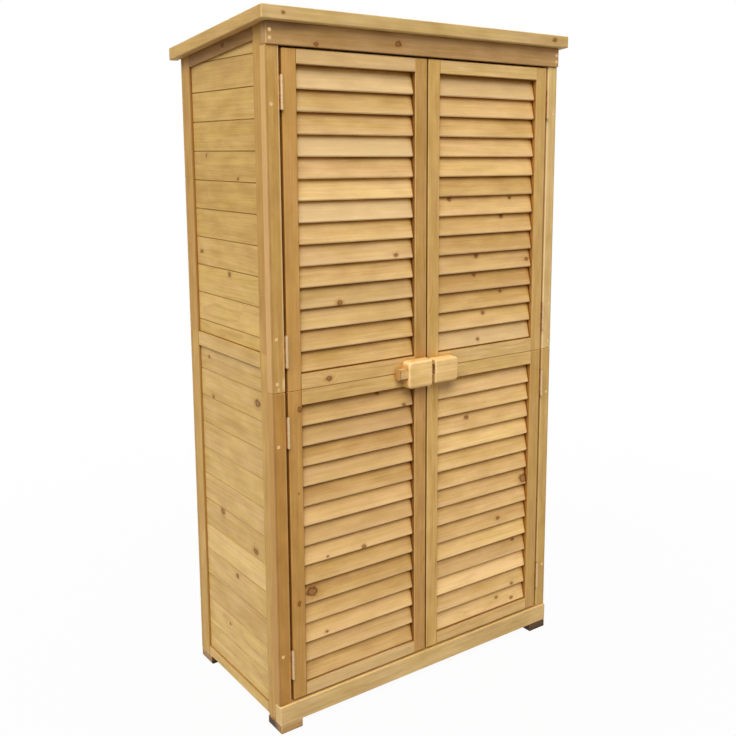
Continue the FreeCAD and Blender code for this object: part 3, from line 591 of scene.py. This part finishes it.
# Painted shade: dark lines where the louvres enter the stiles
slat_joints = (-345, -37, 37, 345)
slat_end_shade = [((x, slat_y, mid_height), (2.5, 40, full_height), 0.5, PAINTED_SHADE_BROWN) for x in slat_joints]
slat_bottoms = {"lower": door_bottom + door_end_rail, "upper": door_split + door_joint_rail}
for side in SIDES:
    for level, bottom in slat_bottoms.items():
        half = f"{side} {level}"
        lowest = bottom + slat_clearance + slat_thickness * math.sin(slat_tilt)
        louvres = glazed_fir(
            f"glazed fir louvres {half}", "x", SLAT_TONES[half], PALE_WEAR_AND_HIGHLIGHT,
            (0, slat_spacing, 0), (0, slat_front, lowest), slat_tilt,
            knots=[((x, slat_y, z), radius) for x, z, radius in slat_knots[half]],
            mixed=0.9, patches=slat_end_shade, corner_shade=1.0,
            lip_light=(slat_step, lip_light_height, lip_light_share), odd=odd_slats[half],
        )
        paint(louvres, f"{side}_door_{level}_slats")

# Sides: y, z and radius of each knot. The right side isn't seen, and has none of them
side_knots = {
    "left upper": [(2, 1032, 4.6), (-54, 1250, 3.0)],
    "left lower": [
        (-121, 755, 7.5),
        (126, 819, 3.0),
        (109, 723, 3.8),
        (76, 440, 6.4),
        (-93, 396, 6.6),
        (5, 299, 4.4),
        (54, 155, 3.0),
    ],
}
sloped_rail_knots = {"left": [((-413, -6, 1540), 4.6)], "right": []}
SIDE_STILE_TONES = {"lower": "#c29957", "upper": "#b98e4b"}
SIDE_BOARDS = {
    "upper": ("#caa460", SEAM, first_upper_seam, 0.6),
    "lower": ("#d4b071", SOFT_SEAM, first_side_seam, 0.5),
}
for side in SIDES:
    sign = -1 if side == "left" else 1
    # Painted shadow: dark lines at the step in the rear stile and at the joint with the front post, where
    # these stand proud
    step_shadows = [
        ((sign * 411, 172, mid_height), (9, 3, full_height), 0.4, GLAZE_AND_SHADE_BROWN),
        ((sign * 413, -185, mid_height), (9, 3.5, full_height), 0.6, GLAZE_AND_SHADE_BROWN),
    ]
    for level, tone in SIDE_STILE_TONES.items():
        name = f"glazed fir {side} {level} side stiles"
        stiles = glazed_fir(name, "z", tone, GLAZE_LINE, mixed=0.15, patches=step_shadows, **FRONT_AND_REAR)
        paint(stiles, f"{side}_{level}_side_stiles")
    for level, (tone, seam, first_seam, mixed) in SIDE_BOARDS.items():
        knots = side_knots.get(f"{side} {level}", ())
        boards = glazed_fir(
            f"glazed fir matchboard {side} {level}", "y", tone, seam,
            (0, 0, board_pitch), (0, 0, first_seam),
            knots=[((side_x, y, z), radius) for y, z, radius in knots], stray=0.03, mixed=mixed,
        )
        paint(boards, f"{side}_{level}_side_boards")
    # The sloped rail's darker brown is partly painted shade, from the roof's side bar above it
    name = f"glazed fir {side} sloped rail"
    sloped_rail = glazed_fir(name, "y", "#9f7745", knots=sloped_rail_knots[side], stray=0.03)
    paint(sloped_rail, f"{side}_upper_side_rail")
    # The wall rails' narrow faces are painted dark brown as shade
    wall_rails = glazed_fir(
        f"glazed fir {side} wall rails", "y", "#d2ad6c", GLAZE_LINE, (0, 0, 500), stray=0.1,
        flanks=("#6f4a20", 0.6),
    )
    paint(wall_rails, f"{side}_lower_side_rails")

# Back and inside. Cells in height give each rail, batten and shelf a tone of its own
BACK_BOARDS = {"upper": ("#cba562", first_upper_seam), "lower": ("#cda96b", foot_height)}
for level, (tone, first_seam) in BACK_BOARDS.items():
    name = f"glazed fir matchboard back {level}"
    boards = glazed_fir(name, "x", tone, SEAM, (0, 0, board_pitch), (0, 0, first_seam), stray=0.12)
    paint(boards, f"back_{level}_boards")
paint(glazed_fir("planed fir back rails", "x", "#c9a468", boards=(0, 0, 300), stray=0.1), "back_rails")
battens = glazed_fir(
    "planed fir battens", "y", "#c9a468", boards=(1000, 0, 300), start=(-1000, 0, 0), stray=0.1
)
paint(battens, "inside_battens")
floor_boards = glazed_fir(
    "planed fir floor boards", "x flat", "#cca869", SEAM, (0, floor_cell, 0), (0, floor_front, 0),
    stray=0.15,
)
paint(floor_boards, "floor_boards")
shelf_boards = glazed_fir(
    "planed fir shelf boards", "x flat", "#cfac70", boards=(0, shelf_cell, 600), start=(0, shelf_front, 0),
    stray=0.15,
)
paint(shelf_boards, "lower_shelf", "upper_shelf")
roof_boards = glazed_fir(
    "planed fir roof boards", "x flat", "#c8a265", SEAM, (0, roof_board_depth, 0), (0, roof_bar_back, 0),
    stray=0.15,
)
paint(roof_boards, "roof_boards")
paint(glazed_fir("planed beech dowel", "z", "#d0b184"), "left_door_dowels", "right_door_dowels")

# Feet, with painted shade: all over the front right foot, on the left face of the front left foot and on
# the front face of the rear left foot
feet = glazed_fir(
    "glazed fir feet", "x", "#c09c68", boards=(1000, 1000, 0), start=(-1000, -1000, 0), ends="#8a6a48",
    patches=[
        ((390, -190, 6), (60, 60, 30), 0.92, PAINTED_SHADE_BROWN),
        ((-424, -165, 8), (12, 42, 26), 0.92, PAINTED_SHADE_BROWN),
        ((-398, 152, 6), (36, 12, 26), 0.96, PAINTED_SHADE_BROWN),
    ],
)
paint(feet, "feet")

# Latch. The bolt has a dark line across it near its free end
# The blocks' pale eased edges are partly wear and partly painted highlight
latch_blocks = glazed_fir(
    "glazed fir latch blocks", "x", "#e2ba78", ("#f4d8a6", 0.5), ends="#d2a868", mixed=0.1, corner_shade=0.0
)
paint(latch_blocks, "left_latch_block", "right_latch_block")
bolt_line = [((-93.5, -222, 795), (1.8, 60, 60), 0.6, GLAZE_AND_SHADE_BROWN)]
bolt = glazed_fir(
    "glazed fir latch bolt", "x", "#cfa66a", GLAZE_LINE, ends="#b07f42", mixed=0.1, patches=bolt_line
)
paint(bolt, "latch_bolt")


def zinc_plate(name, tones):
    """Zinc plate on steel: pale, mottled by its crystals, satin."""
    material = new_material(name)
    tree = material.node_tree
    place = add(tree, "TexCoord").outputs["Object"]
    mottle = add(tree, "TexNoise", {"Vector": place, "Scale": 900.0, "Detail": 3.0}).outputs[0]
    colour = add(tree, "ValToRGB", {0: mottle}, stops=[(0.3, tones[0]), (0.7, tones[1])]).outputs[0]
    rough = add(tree, "MapRange", {0: mottle, 3: 0.3, 4: 0.55}).outputs[0]
    shader = add(tree, "BsdfPrincipled", {"Base Color": colour, "Roughness": rough, "Metallic": 1.0})
    add(tree, "OutputMaterial", {"Surface": shader.outputs[0]})
    return material


paint(
    zinc_plate("zinc-plated hinge steel", ("#b4966e", "#e8cca0")),
    "frame_hinge_leaves",
    "left_door_hinge_leaves",
    "right_door_hinge_leaves",
    "hinge_pins",
)
paint(
    zinc_plate("yellow-passivated screw steel", ("#d8b07c", "#f2d4a4")),
    "frame_screws",
    "frame_hinge_screws",
    "left_door_hinge_screws",
    "right_door_hinge_screws",
)


def roofing_felt():
    """Bitumen felt with crushed slate of about 1.4 mm pressed into it: dark, matt and grainy."""
    material = new_material("mineral roofing felt")
    tree = material.node_tree
    place = add(tree, "TexCoord").outputs["Object"]
    grit = add(tree, "TexVoronoi", {"Vector": place, "Scale": 700.0}).outputs
    blotch = add(tree, "TexNoise", {"Vector": place, "Scale": 9.0, "Detail": 4.0}).outputs[0]
    speck = add(tree, "SeparateColor", {0: grit["Color"]}).outputs[0]
    shade = add(tree, "Math", {0: blotch, 1: 0.5, 2: speck}, operation="MULTIPLY_ADD").outputs[0]
    slate = [(0.25, "#2f332f"), (0.75, "#4a504a"), (1.0, "#6d736c")]
    colour = add(tree, "ValToRGB", {0: shade}, stops=slate).outputs[0]
    sockets = {"Height": grit["Distance"], "Strength": 0.6, "Distance": 0.8 * MM}
    bump = add(tree, "Bump", sockets).outputs[0]
    shader = add(tree, "BsdfPrincipled", {"Base Color": colour, "Roughness": 0.9, "Normal": bump})
    add(tree, "OutputMaterial", {"Surface": shader.outputs[0]})
    return material


paint(roofing_felt(), "roof_felt")

# In metres: the floor's reach, how far from the cabinet's foot its shadow shows and is gone, and the
# place that the lights aim at. Where the shadow shows, this share of the floor's look is white
floor_reach = 30.0
shadow_shows_to = 0.6
shadow_gone_from = 2.6
least_white = 0.965
cabinet_middle = (0, 0, 0.8)


def where_seen(tree):
    """1 on rays from the camera, off gloss and through glass, and 0 on those that only bring light."""
    path = add(tree, "LightPath").outputs
    seen = path["Is Camera Ray"]
    for name in ("Is Glossy Ray", "Is Transmission Ray"):
        seen = add(tree, "Math", {0: seen, 1: path[name]}, operation="MAXIMUM").outputs[0]
    return seen


def pale_floor():
    """Pale cloth where it passes light on, and white where it is seen, but for a trace of near shadow."""
    material = new_material("pale floor")
    tree = material.node_tree
    place = add(tree, "TexCoord").outputs["Object"]
    away = add(tree, "VectorMath", {0: place}, operation="LENGTH").outputs["Value"]
    sockets = {0: away, 1: shadow_shows_to, 2: shadow_gone_from, 3: least_white, 4: 1.0}
    share = add(tree, "MapRange", sockets).outputs[0]
    glow = add(tree, "Math", {0: where_seen(tree), 1: share}, operation="MULTIPLY").outputs[0]
    cloth = add(tree, "BsdfDiffuse", {"Color": linear("#a3a19d")}).outputs[0]
    white = add(tree, "Emission", {"Color": (1, 1, 1, 1), "Strength": 1.0}).outputs[0]
    both = add(tree, "MixShader", {0: glow, 1: cloth, 2: white}).outputs[0]
    add(tree, "OutputMaterial", {"Surface": both})
    return material


# Floor: one wide plain sheet
floor_mesh = bpy.data.meshes.new("floor")
corners = [(x * floor_reach, y * floor_reach, 0) for x, y in ((-1, -1), (1, -1), (1, 1), (-1, 1))]
floor_mesh.from_pydata(corners, [], [(0, 1, 2, 3)])
floor = bpy.data.objects.new("floor", floor_mesh)
bpy.context.scene.collection.objects.link(floor)
floor_mesh.materials.append(pale_floor())

# World: white where it is seen, a softer fill where it lights
world = bpy.data.worlds.new("studio")
bpy.context.scene.world = world
world.use_nodes = True
tree = world.node_tree
tree.nodes.clear()
strength = add(tree, "MapRange", {0: where_seen(tree), 3: 0.2, 4: 1.0}).outputs[0]
back = add(tree, "Background", {"Color": (1, 1, 1, 1), "Strength": strength}).outputs[0]
add(tree, "OutputWorld", {"Surface": back})

# Lights: place and size in metres, and power in watts
softboxes = {
    "key softbox": ((-4.95, -8.46, 12.68), 10.8, 2550.0),
    "side softbox": ((-9.0, -1.08, 9.8), 7.2, 740.0),
    "back softbox": ((8.0, 9.0, 8.0), 9.0, 1500.0),
}
for name, (place, size, power) in softboxes.items():
    lamp = bpy.data.lights.new(name, "AREA")
    lamp.shape = "SQUARE"
    lamp.size = size
    lamp.energy = power
    box = bpy.data.objects.new(name, lamp)
    box.location = place
    box.rotation_euler = (Vector(cabinet_middle) - Vector(place)).to_track_quat("-Z", "Y").to_euler()
    bpy.context.scene.collection.objects.link(box)

# Camera, from the fit to the photograph's edges
camera_place = Vector((-1.34743, -1.94463, 1.30472))
focal_pixels = 934.16
frame_pixels = 736
principal = (415.89, 304.84)
yaw = math.radians(37.138)
pitch_down = math.radians(9.158)
roll = 0.0023
levelled = math.cos(pitch_down)
forward = Vector((math.sin(yaw) * levelled, math.cos(yaw) * levelled, -math.sin(pitch_down)))
right = Vector((math.cos(yaw), -math.sin(yaw), 0))
up = right.cross(forward)
turned_right = right * math.cos(roll) + up * math.sin(roll)
turned_up = up * math.cos(roll) - right * math.sin(roll)
axes = Matrix((turned_right, turned_up, -forward)).transposed().to_4x4()
lens = bpy.data.cameras.new("camera")
lens.sensor_width = 36.0
lens.lens = focal_pixels / frame_pixels * lens.sensor_width
lens.shift_x = (frame_pixels / 2 - principal[0]) / frame_pixels
lens.shift_y = (principal[1] - frame_pixels / 2) / frame_pixels
lens.dof.use_dof = False
camera = bpy.data.objects.new("camera", lens)
camera.matrix_world = Matrix.Translation(camera_place) @ axes
bpy.context.scene.collection.objects.link(camera)
bpy.context.scene.camera = camera
bpy.context.scene.view_settings.view_transform = "Standard"
